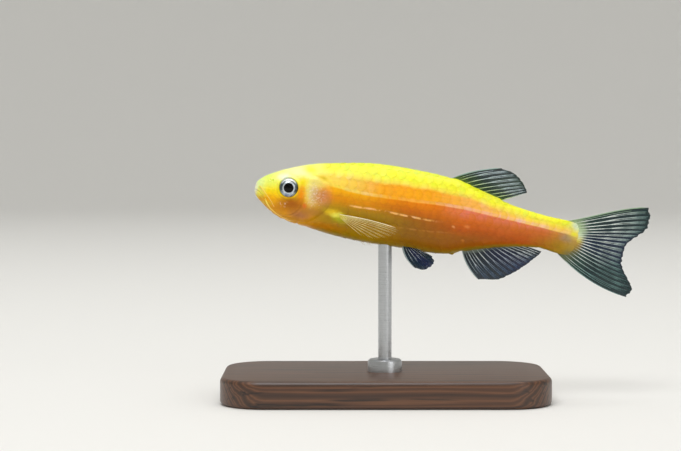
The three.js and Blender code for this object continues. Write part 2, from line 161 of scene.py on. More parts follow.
def bodyAt(x, angle):
    up, down, half, widest = sizesAt(x)
    c, s = math.cos(angle), math.sin(angle)
    power = fish["fullness"]
    reach = (abs(c) ** power + abs(s) ** power) ** (-1 / power)
    thin = min(max((x - fish["thinFrom"]) / (fish["length"] - fish["thinFrom"]), 0.0), 1.0)
    y = half * (1 - thin ** 1.15) * s * reach
    z = widest + (up - widest if c > 0 else down + widest) * c * reach
    crown = 1 - min(abs(z - 0.3) / 2.2, 1.0) ** 2
    back = fish["bulge"] * crown * smoothStep(fish["bulgeFrom"], fish["length"], x)
    back += fish["scallop"] * abs(math.sin(4.2 * z)) * smoothStep(fish["scallopFrom"], fish["length"], x)
    return Vector((x + back, y, z))


def outwardAt(x, angle):
    stepX, stepA = 0.02, 0.01
    back = bodyAt(x + stepX, angle) - bodyAt(max(x - stepX, 0), angle)
    around = bodyAt(x, angle + stepA) - bodyAt(x, angle - stepA)
    outward = back.cross(around)
    return outward.normalized() if outward.length > 1e-9 else Vector((-1, 0, 0))


def heightShare(x, z):
    # from -1 at the belly to 1 at the back
    up, down, _, _ = sizesAt(x)
    return max(min(z / max(up if z > 0 else down, fish["leastHeight"]), 1.0), -1.0)


# Lines and folds of the head and body, seen from the side as (back, up)
relief = {
    "mouth": [(-0.1, 0.07), (0.35, -0.08), (0.7, -0.33), (0.98, -0.61)],
    "jaw": [(0.98, -0.61), (1.3, -1.05), (1.75, -1.6), (2.05, -2.4), (2.3, -3.3)],
    "cheek": [(1.75, 0.15), (2.3, -0.55), (3.1, -1.02), (4.1, -1.1), (4.85, -0.65), (5.2, 0.25), (5.1, 1.1)],
    "preopercle": [(5.35, 2.0), (5.3, 1.1), (5.42, 0.2), (5.4, -0.7), (5.1, -1.6), (4.4, -2.25),
                   (3.2, -2.55)],
    "lowerGill": [(3.1, -2.85), (4.4, -3), (5.8, -2.95), (7.1, -2.55), (8.05, -1.7)],
    "gillCover": [(5.55, 1.95), (6.7, 2.2), (7.9, 1.65), (8.42, 0.6), (8.2, -0.9), (7.1, -2.2),
                  (5.75, -2.9), (5.25, -2.2), (5.6, -0.4)],
    # depth or height and width of each form, and how far a lip or ridge lies from its line
    "mouthGroove": (0.08, 0.05),
    "lip": (0.045, 0.1),
    "lipGap": 0.17,
    "jawGroove": (0.07, 0.08),
    "cheekGroove": (0.04, 0.07),
    "gillFolds": (0.06, 0.07),
    "ridge": (0.04, 0.12),
    "ridgeGap": 0.16,
    "gillRise": 0.09,
    "gillGroove": (0.08, 0.1),
    "nostrils": [(1.6, 1.3, 0.13, 0.13), (1.9, 1.24, 0.16, 0.16)],
    "nostrilRim": (0.06, 0.07),
    "eyePlace": (3.71, 0.67),
    "eyeRadius": 1.05,
    "socketDepth": 0.55,
    "eyeRim": (0.1, 0.1),
    "eyeFurrow": (0.05, 0.13),
    "throatStep": (0.09, 0.13),
    "unevenness": 0.03,
    "finShoulder": (0.16, 0.5),
    "papilla": (0.27, 0.3),
    # low keels that carry the fins: height, width, start, full, fading from, end
    "backKeel": (0.12, 0.28, 20.9, 21.8, 26.4, 27.3),
    "bellyKeel": (0.1, 0.3, 23.2, 24.2, 31.2, 32),
}


def lineTree(points, closed=False, samples=240):
    vectors = [Vector((x, z, 0)) for x, z in points]
    tree = KDTree(samples + 1)
    line = [splinePoint(vectors, i / samples, closed) for i in range(samples + 1)]
    for i, place in enumerate(line):
        tree.insert(place, i)
    tree.balance()
    return tree, line


reliefLines = {name: lineTree(relief[name], name == "gillCover")
               for name in ("mouth", "jaw", "cheek", "preopercle", "lowerGill", "gillCover")}


def lineGap(name, x, z):
    tree, line = reliefLines[name]
    _, i, gap = tree.find(Vector((x, z, 0)))
    return gap, i / (len(line) - 1)


def gillGap(x, z):
    tree, line = reliefLines["gillCover"]
    place, i, gap = tree.find(Vector((x, z, 0)))
    forward = line[(i + 1) % len(line)] - line[i - 1]
    away = Vector((x, z, 0)) - place
    inside = forward.x * away.y - forward.y * away.x < 0  # the edge runs clockwise
    return gap if inside else -gap


def mound(name, gap):
    height, width = relief[name]
    return height * bell(gap, width)


def snoutAt(x, z):
    gap, t = lineGap("mouth", x, z)
    fade = 1 - smoothStep(0.8, 1, t)
    rise = mound("lip", gap - relief["lipGap"]) * fade - mound("mouthGroove", gap) * (0.35 + 0.65 * fade)
    gap, t = lineGap("jaw", x, z)
    rise -= mound("jawGroove", gap) * (1 - 0.8 * t)
    for nostrilX, nostrilZ, radius, depth in relief["nostrils"]:
        gap = math.hypot(x - nostrilX, z - nostrilZ)
        rise += mound("nostrilRim", gap - radius) - depth * bell(gap, radius * 0.75)
    return rise


def headAt(x, y, z, share):
    rise = snoutAt(x, z) if x < 3 else 0.0
    eyeX, eyeZ = relief["eyePlace"]
    gap = math.hypot(x - eyeX, z - eyeZ)
    radius = relief["eyeRadius"]
    rise -= relief["socketDepth"] * (1 - smoothStep(radius * 0.86, radius, gap))
    rise += mound("eyeRim", gap - radius * 1.1) - mound("eyeFurrow", gap - radius * 1.36)
    rise -= mound("cheekGroove", lineGap("cheek", x, z)[0])
    gap, t = lineGap("preopercle", x, z)
    rise += (mound("ridge", gap - relief["ridgeGap"]) - mound("gillFolds", gap)) * smoothStep(0, 0.15, t)
    gap, t = lineGap("lowerGill", x, z)
    rise -= mound("gillFolds", gap) * smoothStep(0, 0.1, t)
    gap = gillGap(x, z)
    rise += relief["gillRise"] * smoothStep(-0.02, 0.4, gap)
    rise -= mound("gillGroove", gap + 0.07) * smoothStep(5.9, 6.6, x)
    rise -= mound("throatStep", x - 5.0) * smoothStep(0.85, 0.98, -share)
    rise += relief["unevenness"] * noise.noise(Vector((x, y, z)) * 1.6)
    return rise + mound("finShoulder", math.hypot(x - 9.25, (z + 1.6) * 0.8))


def reliefAt(place, share):
    x, y, z = place
    rise = headAt(x, y, z, share) if x < 10.5 else 0.0
    if share < 0:
        rise += mound("papilla", math.hypot(x - 22.55, y * 1.2, z + 4.22))
    height, width, start, full, fading, end = relief["bellyKeel" if share < 0 else "backKeel"]
    rise += height * bell(y, width) * smoothStep(start, full, x) * (1 - smoothStep(fading, end, x))
    return rise * (1 - smoothStep(33.5, 34.5, x))


# Node helpers: each finds its material's node tree by the sockets that it is given
def addNode(tree, kind, inputs=None, **settings):
    made = tree.nodes.new("ShaderNode" + kind)
    for key, value in settings.items():
        setattr(made, key, value)
    for key, value in (inputs or {}).items():
        if isinstance(value, bpy.types.NodeSocket):
            tree.links.new(value, made.inputs[key])
        else:
            made.inputs[key].default_value = value
    return made


def treeOf(*values):
    return next(value.id_data for value in values if isinstance(value, bpy.types.NodeSocket))


def attribute(tree, name, output="Vector"):
    return addNode(tree, "Attribute", attribute_name=name).outputs[output]


def objectPlace(tree):
    return addNode(tree, "TexCoord").outputs["Object"]


def axes(vector):
    return addNode(vector.id_data, "SeparateXYZ", {0: vector}).outputs


def calc(operation, a, b=0.0, c=0.0):
    return addNode(treeOf(a, b, c), "Math", {0: a, 1: b, 2: c}, operation=operation).outputs[0]


def times(a, b):
    return calc("MULTIPLY", a, b)


def minus(a, b):
    return calc("SUBTRACT", a, b)


def timesPlus(a, b, c):
    return calc("MULTIPLY_ADD", a, b, c)


def apart(a, b):
    return calc("ABSOLUTE", minus(a, b))


def fraction(a, scale):
    return calc("FRACT", times(a, scale))


def mixPaint(factor, a, b, blendType="MIX"):
    a, b = [paint(value) if isinstance(value, str) else value for value in (a, b)]
    made = addNode(treeOf(factor, a, b), "Mix", {0: factor, 6: a, 7: b}, data_type="RGBA",
                   blend_type=blendType)
    return made.outputs[2]


def overlay(color, mask, strength, code):
    return mixPaint(times(mask, strength), color, code)


def softMask(value, low, high):
    made = addNode(value.id_data, "MapRange", {"Value": value, "From Min": low, "From Max": high},
                   interpolation_type="SMOOTHSTEP")
    return made.outputs[0]


def paintRamp(value, stops):
    made = addNode(value.id_data, "ValToRGB", {0: value})
    elements = made.color_ramp.elements
    while len(elements) < len(stops):
        elements.new(0.5)
    for element, (position, code) in zip(elements, stops):
        element.position = position
        element.color = paint(code)
    return made.outputs[0]


def lineOver(value, points):
    made = addNode(value.id_data, "FloatCurve", {"Value": value})
    curve = made.mapping.curves[0]
    while len(curve.points) < len(points):
        curve.points.new(0.5, 0.5)
    for point, (position, height) in zip(curve.points, points):
        point.location = (position, height)
    made.mapping.update()
    return made.outputs[0]


def noiseOn(coordinates, scale, detail=2.0, roughness=0.5):
    made = addNode(coordinates.id_data, "TexNoise",
                   {"Vector": coordinates, "Scale": scale, "Detail": detail, "Roughness": roughness})
    return made.outputs["Fac"]


def stretch(vector, scale):
    return addNode(vector.id_data, "Mapping", {"Vector": vector, "Scale": scale}).outputs[0]


def newMaterial(name, **sockets):
    material = bpy.data.materials.new(name)
    material.use_nodes = True
    shader = material.node_tree.nodes["Principled BSDF"]
    for key, value in sockets.items():
        shader.inputs[key.replace("_", " ")].default_value = value
    return material, material.node_tree, shader


def feed(shader, **sockets):
    for key, value in sockets.items():
        shader.id_data.links.new(value, shader.inputs[key.replace("_", " ")])


def setBump(shader, height, strength, distance):
    made = addNode(height.id_data, "Bump", {"Height": height, "Strength": strength, "Distance": distance})
    feed(shader, Normal=made.outputs[0])


# Piece helpers
def linkObject(name, data):
    made = bpy.data.objects.new(name, data)
    bpy.context.scene.collection.objects.link(made)
    return made


def newObject(name, bm, material, sharpAngle=None):
    mesh = bpy.data.meshes.new(name)
    bm.to_mesh(mesh)
    bm.free()
    mesh.materials.append(material)
    for face in mesh.polygons:
        face.use_smooth = True
    if sharpAngle:
        mesh.set_sharp_from_angle(angle=math.radians(sharpAngle))
    return linkObject(name, mesh)


def newPiece(name, bm, material, slot, nodes=(), place=alongSpine, sharpAngle=None):
    bmesh.ops.recalc_face_normals(bm, faces=bm.faces)
    for vert in bm.verts:
        vert.co = place(vert.co)
    piece = newObject(name, bm, material, sharpAngle)
    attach(piece, "root")
    if nodes:
        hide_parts(*nodes)


def newMesh(layer):
    bm = bmesh.new()
    return bm, bm.verts.layers.float_vector.new(layer)


def centreOf(bm):
    return sum((vert.co for vert in bm.verts), Vector()) / len(bm.verts)


def spinProfile(bm, points, steps, closed=False):
    # turns a profile of (radius, height) once round the upright axis
    line = [bm.verts.new((radius, 0, height)) for radius, height in points]
    ends = line[1:] + line[:1] if closed else line[1:]
    edges = [bm.edges.new(pair) for pair in zip(line, ends)]
    bmesh.ops.spin(bm, geom=line + edges, axis=(0, 0, 1), cent=(0, 0, 0), angle=2 * math.pi, steps=steps,
                   use_merge=True)


# Markings shared by the skin and the scales
paints = {
    "butter": "FCDC50", "peach": "FDCB58", "amber": "FFAA1E", "apricot": "FFB654", "cream": "FFCC70",
    "honey": "FFAE38", "shell": "FFB886", "blush": "FFCA98", "gold": "FEB20C", "tangerine": "EE8C00",
    "orange": "EA7C04", "coral": "EC7E5C", "salmon": "F68870", "saffron": "E69000", "copper": "C86800",
    "pumpkin": "DA6A10", "brick": "D06A24", "rust": "C45800", "chestnut": "A85C00", "umber": "9C6800",
    "mustard": "AC8200", "ochre": "B48A00", "olive": "9C8010", "tailGold": "C0883A",
    "tailRose": "E2A464",
}
markings = {
    "tallSpan": 10,  # millimetres of height over the whole of the second place value
    "alongSpan": 36,  # and of length over the first
    # lines along the flank, as (back, up)
    "backLine": [(7, 2.6), (14, 2.55), (20, 2.45), (23, 2.25), (25, 1.9), (28, 1.3), (31, 1.02), (35, 0.85)],
    "stripeLine": [(7, 1.75), (9, 1.45), (11, 1.15), (15, 1.02), (22, 1.07), (26, 0.86), (31, 0.65),
                   (35, 0.48)],
    "lowLine": [(9, -0.35), (11, -0.47), (13.4, -0.5), (16.5, -0.74), (19.5, -0.87), (24, -0.85),
                (35, -0.45)],
    "thirdLine": [(9, -2.6), (14, -2.2), (20, -2.05), (28, -1.3), (35, -0.9)],
    # paints along each band between the lines, as (back, paint)
    "upperBand": [(7.5, "butter"), (11, "peach"), (14, "amber"), (19, "amber"), (24, "apricot"),
                  (30, "cream"), (34, "peach")],
    "stripe": [(9, "butter"), (12.5, "cream"), (15, "honey"), (18, "honey"), (22, "shell"),
               (26, "shell"), (30, "blush"), (34, "cream")],
    "middleBand": [(8, "gold"), (12, "gold"), (15, "tangerine"), (20, "orange"), (23.5, "coral"),
                   (26, "coral"), (30, "salmon"), (34.5, "tailRose")],
    "middleLow": [(8, "saffron"), (12, "saffron"), (17, "copper"), (20, "copper"), (23.5, "pumpkin"),
                  (29, "brick"), (32, "brick"), (34, "tailGold")],
    "lowerBand": [(8, "ochre"), (14, "mustard"), (17, "umber"), (20, "chestnut"), (23, "rust"), (30, "rust"),
                  (34, "mustard")],
    "belly": [(9, "mustard"), (13, "ochre"), (17, "umber"), (24, "chestnut"), (30, "rust"), (34, "mustard")],
    "faceRamp": [(0, "D4981C"), (0.2, "ECA000"), (0.35, "F8B800"), (0.45, "FCD008"), (0.56, "FBE21C"),
                 (0.7, "FAF04C"), (0.86, "FAF87C"), (1, "F2FA88")],
    # the back above its line: its lime top edge is partly the back's colour, partly painted rim light
    "backRampWithRimLight": [(0.0, "FCDC50"), (0.06, "F8F236"), (0.2, "ECF63C")],
    "fleshEnd": [(0.1, "96862E"), (0.45, "B8984C"), (0.62, "E8DC60"), (0.9, "D8E48C")],
    "lowStripe": "FBBE70",
    # how far noise shifts the bands, the stripes, the face's shades and the dabs
    "wander": 0.05,
    "tremble": 0.012,
    "faceShift": 0.09,
    "dabShift": 0.07,
    "faceEnd": (5.6, 8.2),  # where the face's paints pass into the bands
    "fleckStrength": 0.65,
    # soft dabs of paint, two of them painted highlight and glare: back, up, length, height, paint, strength
    "dabs": [
        (1.3, 1.4, 1.5, 0.8, "E2F668", 0.75), (0.3, 0.5, 0.9, 1.1, "D8F2A8", 0.7),
        (0.7, -0.35, 0.8, 0.5, "EEE848", 0.75), (1.5, -1.2, 0.9, 0.3, "DCC430", 0.6),
        (1.9, -0.75, 0.8, 0.5, "FCB800", 0.6), (-0.05, 0.1, 0.36, 0.95, "F0F4DC", 0.9),
        # next two: a painted highlight on the nape, then the pale rim above the eye with painted glare on it
        (4.4, 2.6, 1.7, 0.8, "FEFBB4", 0.7), (3.1, 1.75, 0.8, 0.45, "ECF2E2", 0.8),
        (5.15, 0.1, 0.6, 1.5, "F08800", 0.85), (5.2, 1.6, 0.7, 0.5, "FCE010", 0.8),
        (5.9, 2.9, 0.9, 0.5, "EEFA10", 0.85), (4.25, -1.12, 1.9, 0.95, "AC5C00", 0.95),
        (6.4, 0.5, 0.8, 1.6, "E0CC98", 0.8), (7.4, 0.15, 1.15, 1.2, "CC8256", 0.8),
        (6.9, 1.5, 1.3, 0.5, "E8D870", 0.6), (5.65, -1.1, 0.3, 0.35, "F07020", 0.7),
        (6.4, -1.6, 1.5, 0.6, "AC6C34", 0.6), (5.2, -2.2, 1.3, 0.6, "AC6C50", 0.7),
        (8.2, -3.1, 2.4, 0.5, "D47C00", 0.6), (7.3, 2.15, 0.6, 0.35, "E4BC10", 0.7),
        (9.7, -2.0, 1.0, 0.6, "C4C81C", 0.8), (8.6, -1.35, 0.9, 0.4, "F0CC20", 0.8),
        (9.3, -1.65, 0.8, 0.3, "F6EC58", 0.85), (22, -1.15, 0.22, 0.16, "F0A45C", 0.7),
        (23.5, -0.95, 0.35, 0.2, "E88C40", 0.6), (23.3, -2.6, 0.22, 0.18, "E08838", 0.6),
        (35.35, 0.5, 0.45, 0.28, "F0E42C", 0.9), (34.6, -0.15, 0.7, 0.45, "A08C70", 0.6),
        (35.4, 1.5, 0.6, 0.6, "D4E4C8", 0.9), (35.3, -1.75, 0.75, 0.45, "706A44", 0.8),
    ],
    "flecks": [(3.3, -1.15, 0.6, 0.35, "FBE8C4"), (6.6, 0.3, 1.1, 1.5, "F6E4CC")],
}


def alongRamp(along, name):
    return paintRamp(along, [(x / markings["alongSpan"], paints[key]) for x, key in markings[name]])


def alongLine(along, name):
    return lineOver(along, [(x / markings["alongSpan"], z / markings["tallSpan"] + 0.5)
                            for x, z in markings[name]])


def dab(along, tall, x, z, length, height):
    dx = times(minus(along, x / markings["alongSpan"]), markings["alongSpan"] / length)
    dz = times(minus(tall, z / markings["tallSpan"] + 0.5), markings["tallSpan"] / height)
    return softMask(calc("SQRT", calc("ADD", times(dx, dx), times(dz, dz))), 1.4, 0.1)


def addMarkings(tree):
    place = attribute(tree, "place")
    along, tall, share = axes(place)
    where = objectPlace(tree)
    cloud = minus(noiseOn(where, 450, 3), 0.5)
    fine = noiseOn(where, 2600, 3, 0.6)
    wander = timesPlus(cloud, markings["wander"], tall)
    tremble = timesPlus(cloud, markings["tremble"], tall)
    backLine, stripeLine, lowLine, thirdLine = [
        alongLine(along, name) for name in ("backLine", "stripeLine", "lowLine", "thirdLine")]

    # belly, then each band above it
    color = mixPaint(softMask(share, 0.09, 0.0), alongRamp(along, "belly"), paints["olive"])
    color = mixPaint(softMask(minus(wander, thirdLine), -0.07, 0.07), color, alongRamp(along, "lowerBand"))
    above = minus(wander, lowLine)
    middle = alongRamp(along, "middleBand")
    middle = mixPaint(softMask(above, 0.04, 0.16), alongRamp(along, "middleLow"), middle)
    color = mixPaint(softMask(above, -0.07, 0.07), color, middle)
    color = mixPaint(softMask(minus(tremble, stripeLine), -0.03, 0.02), color, alongRamp(along, "upperBand"))
    # the back, its lime top edge partly painted rim light
    above = minus(wander, backLine)
    color = mixPaint(softMask(above, -0.03, 0.012), color, paintRamp(above, markings["backRampWithRimLight"]))

    # pale stripes: the upper one runs to the tail, the lower one is broken, the third is a trace
    mask = times(softMask(apart(tremble, stripeLine), 0.024, 0.008), softMask(along, 0.2, 0.26))
    color = mixPaint(mask, color, alongRamp(along, "stripe"))
    dashes = softMask(noiseOn(where, 1300), 0.36, 0.6)
    mask = times(softMask(apart(tremble, lowLine), 0.016, 0.003), dashes)
    mask = times(times(mask, softMask(along, 0.285, 0.31)), softMask(along, 0.59, 0.5))
    color = mixPaint(mask, color, markings["lowStripe"])
    mask = times(softMask(apart(tremble, thirdLine), 0.014, 0.002), dashes)
    color = overlay(color, times(mask, softMask(along, 0.68, 0.52)), 0.22, paints["apricot"])

    # last of the flesh before the tail fin, then the face
    color = overlay(color, softMask(along, 0.945, 0.985), 0.75, paintRamp(share, markings["fleshEnd"]))
    shaded = paintRamp(timesPlus(cloud, markings["faceShift"], share), markings["faceRamp"])
    color = mixPaint(attribute(tree, "face", "Fac"), color, shaded)
    ragged = timesPlus(minus(noiseOn(where, 900, 3), 0.5), markings["dabShift"], tall)
    # most dabs are the fish's colours, but one is a painted highlight on the nape and one carries painted
    # glare above the eye
    for x, z, length, height, code, strength in markings["dabs"]:
        color = overlay(color, dab(along, ragged, x, z, length, height), strength, code)

    # silvery flecks on the cheek and gill cover, and fine grain all over
    speckle = softMask(noiseOn(where, 4200, 3, 0.7), 0.5, 0.66)
    for x, z, length, height, code in markings["flecks"]:
        mask = times(dab(along, ragged, x, z, length, height), speckle)
        color = overlay(color, mask, markings["fleckStrength"], code)
    streaks = timesPlus(noiseOn(stretch(place, (9, 45, 0)), 1.0, 3), 0.24, 0.73)
    grain = timesPlus(fine, 0.3, streaks)
    grey = addNode(tree, "CombineColor", {0: grain, 1: grain, 2: grain}).outputs[0]
    return mixPaint(1.0, color, grey, "MULTIPLY"), fine


def layVert(vert, layers, x, angle, lift=0.0):
    # marks a vertex of skin or scale and lays it on the body
    base = bodyAt(x, angle)
    share = heightShare(x, base.z)
    vert[layers[0]] = Vector((base.x / markings["alongSpan"], base.z / markings["tallSpan"] + 0.5,
                              share * 0.5 + 0.5))
    vert[layers[1]] = 1 - smoothStep(*markings["faceEnd"], base.x)
    vert.co = base + outwardAt(x, angle) * (reliefAt(base, share) + lift)


def newLayers(bm):
    return [bm.verts.layers.float_vector.new("place"), bm.verts.layers.float.new("face")]


def newFlesh(name, bump, **sockets):
    material, tree, shader = newMaterial(name, Specular_IOR_Level=0.2, Subsurface_Radius=(1.0, 0.45, 0.12),
                                         **sockets)
    color, fine = addMarkings(tree)
    feed(shader, Base_Color=color)
    setBump(shader, fine, *bump)
    return material, tree, shader, color


# Skin: one closed tube from the snout to the tail fin
skin = {"rings": 340, "sides": 208, "bump": (0.25, 0.00006)}


def makeSkin():
    bm = bmesh.new()
    layers = newLayers(bm)
    bake = bm.loops.layers.uv.new("OFBake")
    bmesh.ops.create_grid(bm, x_segments=skin["rings"], y_segments=skin["sides"], size=0.5)
    for face in bm.faces:
        for loop in face.loops:
            loop[bake].uv = (loop.vert.co.x + 0.5, loop.vert.co.y + 0.5)
    for vert in bm.verts:
        along, around = vert.co.x + 0.5, vert.co.y + 0.5
        x = fish["length"] * round(along * skin["rings"]) ** 2 / skin["rings"] ** 2
        angle = 2 * math.pi * (around - 0.5)
        layVert(vert, layers, x, angle)
        if x == 0:
            vert.co = Vector((0, 0, 0.08))
        elif x >= fish["length"]:
            base = bodyAt(x, angle)
            vert.co = Vector((base.x, 0, base.z))
    bmesh.ops.remove_doubles(bm, verts=bm.verts, dist=2e-5)
    material = newFlesh("fishSkin", skin["bump"], Roughness=0.38, Coat_Weight=0.07, Coat_Roughness=0.12,
                        Subsurface_Weight=0.18, Subsurface_Scale=0.0005)[0]
    newPiece("fishSkin", bm, material, "flank_skin",
             ("head", "lower_jaw", "gill_cover_left", "gill_cover_right", "trunk", "tail_stem"))


makeSkin()
print("skin done")

# Eyes: a spun ball with silver iris and black pupil
eye = {
    "place": (3.73, 1.57, 0.67),
    "turn": 0.02,
    "steps": 64,
    "profile": [(0, -0.72), (0.55, -0.66), (0.9, -0.36), (1.03, -0.12), (1.05, 0.08), (1.01, 0.28),
                (0.93, 0.42), (0.8, 0.53), (0.66, 0.61), (0.52, 0.67), (0.38, 0.71), (0.2, 0.745), (0, 0.76)],
    "pupil": 0.53,
    "pupilEdge": 0.03,
    "pupilPaint": "020203",
    "irisRamp": [(0.34, "4A5A6C"), (0.45, "8496A6"), (0.54, "C8D4DA"), (0.66, "F4F8F4")],
    "silver": 0.3,
}


def makeEyeMaterial():
    material, tree, shader = newMaterial("eyeGloss", Roughness=0.2, Specular_IOR_Level=0.05, Coat_Weight=0.3,
                                         Coat_Roughness=0.02)
    disc = attribute(tree, "disc")
    across, upward, radius = axes(disc)
    color = paintRamp(noiseOn(disc, 3.2, 5, 0.75), eye["irisRamp"])
    sides = softMask(calc("ABSOLUTE", across), 0.4, 0.72)
    sides = times(sides, softMask(calc("ABSOLUTE", upward), 0.66, 0.2))
    arc = times(softMask(apart(radius, 0.78), 0.1, 0.03), softMask(upward, 0.1, 0.45))
    pupil = softMask(radius, eye["pupil"] + eye["pupilEdge"], eye["pupil"])
    # dark green-grey sides, a bluish wash below that is painted reflection, a white crown that is silver iris
    # with painted highlight, crossed by a dark arc, pale ring round the pupil, dark rim
    for mask, strength, code in [
            # the bluish wash on the lower iris is painted reflection
            (sides, 0.88, "2C3A40"), (softMask(upward, -0.45, -0.75), 0.4, "9CB0DC"),
            # the white crown is partly silver iris, partly painted highlight
            (softMask(upward, 0.52, 0.8), 1, "F6F8F4"), (arc, 0.75, "34444C"),
            (softMask(radius, 0.72, 0.64), 0.6, "DCE4E8"), (softMask(radius, 0.93, 1.03), 0.6, "6C7C80"),
            (pupil, 1, eye["pupilPaint"])]:
        color = overlay(color, mask, strength, code)
    feed(shader, Base_Color=color, Metallic=times(minus(1.0, pupil), eye["silver"]))
    return material


def makeEye(name, node, side):
    bm, disc = newMesh("disc")
    spinProfile(bm, eye["profile"], eye["steps"])
    bmesh.ops.remove_doubles(bm, verts=bm.verts, dist=1e-4)
    # outward axis of the ball turned to the side of the head, and a little forward
    back, out, up = eye["place"]
    lay = (Matrix.Translation((back, side * out, up)) @ Matrix.Rotation(side * eye["turn"], 4, "Z")
           @ Matrix.Rotation(-side * math.pi / 2, 4, "X"))
    for vert in bm.verts:
        # the hidden rear of the ball counts as lying outside the rim
        radius = math.hypot(vert.co.x, vert.co.y) if vert.co.z > 0 else 1.2
        vert[disc] = Vector((vert.co.x, -side * vert.co.y, radius))
    bmesh.ops.transform(bm, matrix=lay, verts=bm.verts)
    newPiece(name, bm, eyeMaterial, "eye", (node,))


eyeMaterial = makeEyeMaterial()
makeEye("eyeballLeft", "eye_left", -1)
makeEye("eyeballRight", "eye_right", 1)
print("eyes done")

# Fins: each is a surface (w across the rays, v out from the root), a thin web and branching rays
fins = {
    "webThickness": 0.05,
    "rootSink": -0.3,
    "ripple": 0.05,
    "scallop": 0.012,
    "ragged": 0.02,
    "raggedPitch": 1.7,
    # first and second fork: where it starts, how far that varies, overlap, spread and size
    "forks": [(0.4, 0.1, 0.06, 0.14, 0.76), (0.7, 0.08, 0.05, 0.07, 0.56)],
    "tipVaries": 0.02,
    "rootSize": 0.6,
    "rootSwell": (-0.05, 0.35),
    "endSize": 0.7,
    "rearRays": (0.6, 0.85),  # those that take rearSize
    # slighter rays between others
    "betweenReach": 0.86,
    "betweenSize": 0.66,
    "caudal": {"rays": 19, "columns": 180, "rows": 36, "rayRadius": 0.08, "firstRay": 1.1, "forks": 2,
               "between": (0.5, 17.5), "rearSize": 0.9,
               "corner": 0.05, "cornerWidth": 0.1, "rearCorner": 0.06,
               "root": 1.85, "rootBack": 0.3, "fork": 5.6, "lobe": 1.95, "taper": 0.95,
               # each lobe's foot, rise and bow, how far the bow leans to the tip, where it starts and is full
               "upper": (1.3, 5.4, 0.55, 2, 0.05, 0.6), "lower": (1.9, 4.95, 0.75, 1, 0.2, 0.88)},
    "dorsal": {"rays": 9, "columns": 80, "rows": 28, "rayRadius": 0.08, "firstRay": 1.1, "forks": 2,
               "between": (0.5,),
               "corner": 0.1, "cornerWidth": 0.2, "rearCorner": 0.02},
    "anal": {"rays": 14, "columns": 130, "rows": 28, "rayRadius": 0.075, "firstRay": 1.1, "forks": 2,
             "between": (0.5, 1.5),
             "corner": 0.07, "cornerWidth": 0.15, "rearCorner": 0.05},
    "pectoral": {"rays": 9, "columns": 64, "rows": 28, "rayRadius": 0.04, "firstRay": 1.5, "forks": 1,
                 "corner": 0.04, "cornerWidth": 0.15, "rearCorner": 0.1,
                 # margins of the left and the right one, and how far they stand out: at the root, more by the
                 # bend and at the tip, less at the rear
                 -1: [(16.1, 0, -2.25), (16, 0, -2.8), (14.6, 0, -3.5), (12.6, 0, -3.8)],
                 1: [(15.4, 0, -3), (15.2, 0, -3.9), (13.9, 0, -4.7), (12.2, 0, -4.9)],
                 "out": (1.15, 1.95, 0.2, 0.35)},
    "pelvic": {"rays": 7, "columns": 60, "rows": 22, "rayRadius": 0.055, "firstRay": 1.1, "forks": 2,
               "corner": 0.08, "cornerWidth": 0.2, "rearCorner": 0.1},
}


def fan(first, last, margin, bow, sweep=0.0):
    first, last, bow = Vector(first), Vector(last), Vector(bow)
    edge = [Vector(place) for place in margin]

    def surface(w, v):
        root = first.lerp(last, w)
        tip = splinePoint(edge, w + sweep * w * (1 - w))  # swept rays end further to the rear
        return root.lerp(tip, v) + bow * (4 * v * (1 - v) * (1 - w) ** 2)
    return surface


def caudalSurface(w, v):
    sizes = fins["caudal"]
    spread = 1 - 2 * w
    lobe = abs(spread)
    sign = 1 if spread > 0 else -1
    foot, rise, bow, lean, start, full = sizes["upper"] if spread > 0 else sizes["lower"]
    rootX = fish["length"] + sizes["rootBack"] - foot * lobe ** 2
    marginX = fish["length"] + sizes["fork"] + sizes["lobe"] * smoothStep(start, full, lobe)
    z = blend(sizes["root"] * lobe, rise * lobe ** sizes["taper"], v)
    z += bow * 4 * v ** lean * (1 - v) * lobe ** 2
    return Vector((blend(rootX, marginX, v), 0, sign * z))


def pectoralSurface(side):
    flat = fan((9.6, 0, -1.55), (9.65, 0, -1.9), fins["pectoral"][side], (0, 0, 0.15))
    root, bend, tip, rear = fins["pectoral"]["out"]

    def surface(w, v):
        place = flat(w, v)
        place.y = side * (root + bend * smoothStep(-0.3, 0.2, v) + tip * v - rear * w * v)
        return place
    return surface


def pelvicSurface(side):
    return fan((16.9, 0.9 * side, -4), (18, 0.75 * side, -4.1),
               [(18.8, 2.15 * side, -6.45), (19.8, 2.05 * side, -6.25), (20.5, 1.75 * side, -5.55),
                (20.55, 1.2 * side, -4.9)], (-0.3, 0, -0.2))


def tubeAlong(bm, layer, pathAt, radiusAt, sides, rings, markAt):
    made = bmesh.ops.create_uvsphere(bm, u_segments=sides, v_segments=rings, radius=1)
    for vert in made["verts"]:
        t = math.acos(max(min(vert.co.z, 1), -1)) / math.pi
        around = math.atan2(vert.co.y, vert.co.x)
        forward = (pathAt(min(t + 0.02, 1)) - pathAt(max(t - 0.02, 0))).normalized()
        aside = Vector((0, 1, 0)) if abs(forward.y) < 0.9 else Vector((0, 0, 1))
        sideways = forward.cross(aside).normalized()
        outward = forward.cross(sideways)
        radius = radiusAt(t) if 0.001 < t < 0.999 else 0
        vert[layer] = markAt(t)
        vert.co = pathAt(t) + (sideways * math.cos(around) + outward * math.sin(around)) * radius


def finEdge(sizes, w):
    # how far out the margin runs, with rounded corners at both ends
    front = sizes["corner"] * (1 - smoothStep(0, sizes["cornerWidth"], w))
    return 1 - front - sizes["rearCorner"] * smoothStep(1 - sizes["cornerWidth"], 1, w)


def finPoint(surface, sizes, w, v):
    # web and rays wave together, a little
    ripple = fins["ripple"] * math.sin(2 * math.pi * w * (sizes["rays"] - 1)) * smoothStep(0, 0.5, v)
    return surface(w, v) + Vector((0, ripple, 0))


